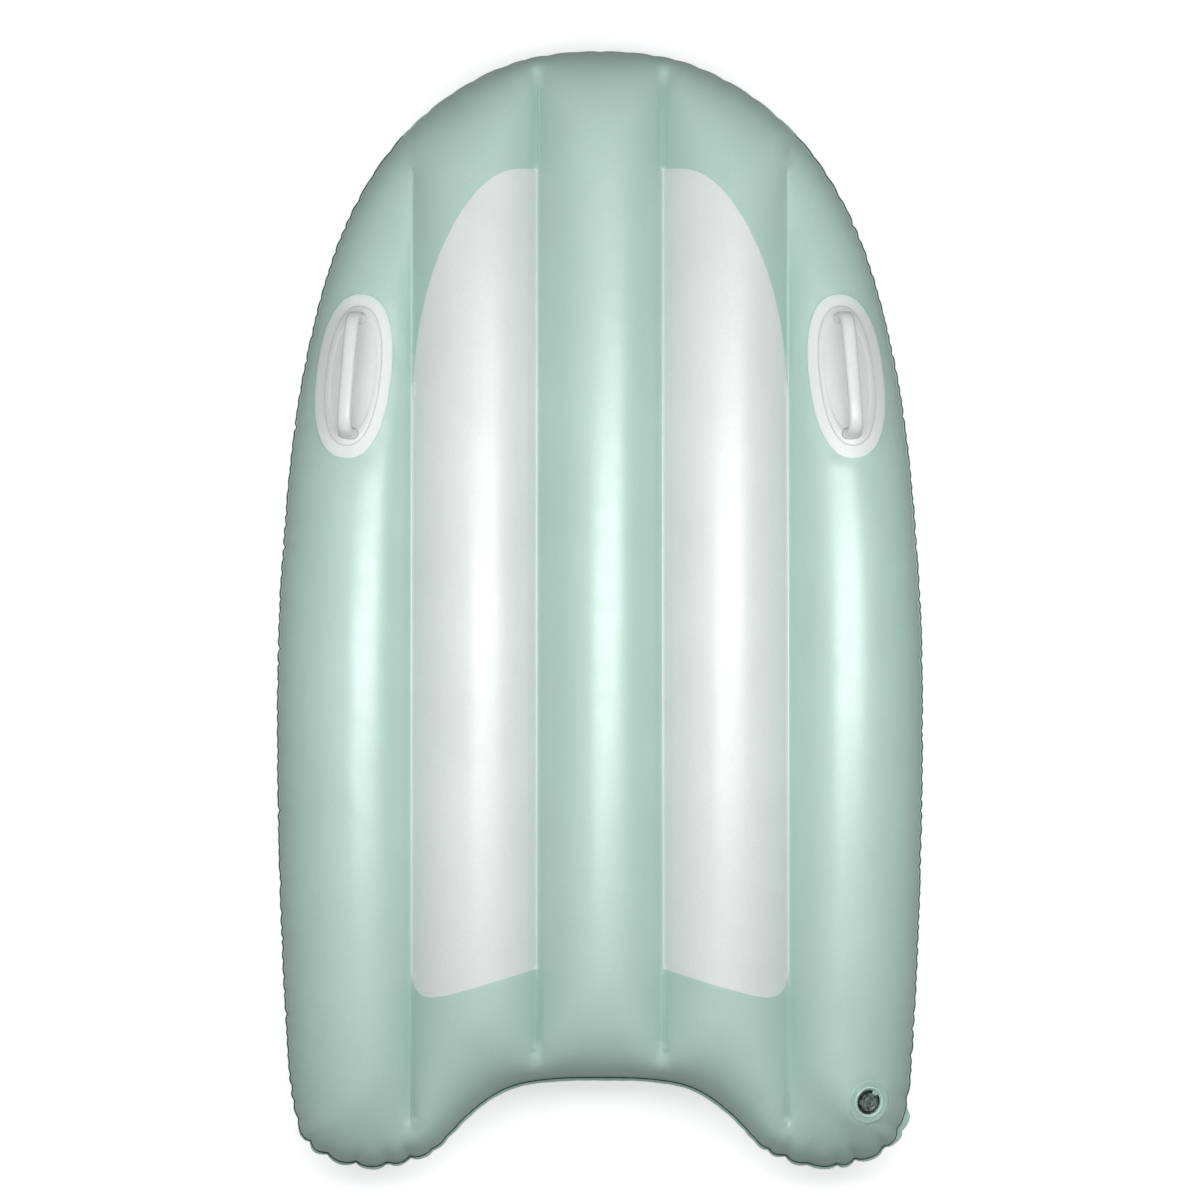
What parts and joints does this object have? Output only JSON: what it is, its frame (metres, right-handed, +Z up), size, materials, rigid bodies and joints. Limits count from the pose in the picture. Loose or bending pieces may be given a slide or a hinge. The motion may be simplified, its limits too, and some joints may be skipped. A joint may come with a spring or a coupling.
{
  "type": "inflatable bodyboard",
  "caption": "Inflatable bodyboard with lengthwise air chambers, welded grab handles near the nose and a push-in valve at the tail.",
  "frame": {"origin": "bottom centre of the board as it lies on the floor, valve side up", "axes": "+X towards the side with the valve, +Y towards the rounded nose, +Z up"},
  "size_m": [0.6056, 1.0449, 0.1608],
  "materials": {
    "mint_pvc": "satin",
    "web_pvc": "satin",
    "white_film": "satin",
    "white_pvc": "satin",
    "clear_pvc": "gloss"
  },
  "bodies": {
    "board": {"top_skin": "mint_pvc", "bottom_skin": "mint_pvc", "outer_web_left": "web_pvc", "inner_web_left": "web_pvc", "inner_web_right": "web_pvc", "outer_web_right": "web_pvc", "handle_patch_left": "white_film", "handle_patch_right": "white_film", "grab_handle_left": "white_pvc", "grab_handle_right": "white_pvc", "valve_flange": "clear_pvc", "valve_diaphragm": "clear_pvc"},
    "stem": {"valve_stem": "clear_pvc", "plug_tether": "clear_pvc"},
    "plug": {"valve_plug": "clear_pvc"},
    "flap": {"check_flap": "clear_pvc"}
  },
  "joints": [
    {"name": "stem_slide", "type": "slide", "parent": "board", "child": "stem", "axis": [0.4092, -0.1544, 0.8993], "range_m": [0, 0.014], "deforming": ["valve_diaphragm"]},
    {"name": "plug_slide", "type": "slide", "parent": "stem", "child": "plug", "axis": [0.4092, -0.1544, 0.8993], "range_m": [0, 0.012], "deforming": ["plug_tether"]},
    {"name": "flap_hinge", "type": "hinge", "parent": "stem", "child": "flap", "pos_m": [0.23477, -0.45414, 0.11231], "axis": [0.0639, 0.988, 0.1405], "range_deg": [0, 50], "stiffness_Nm_per_rad": 0.0002, "springref_deg": -11.46}
  ]
}
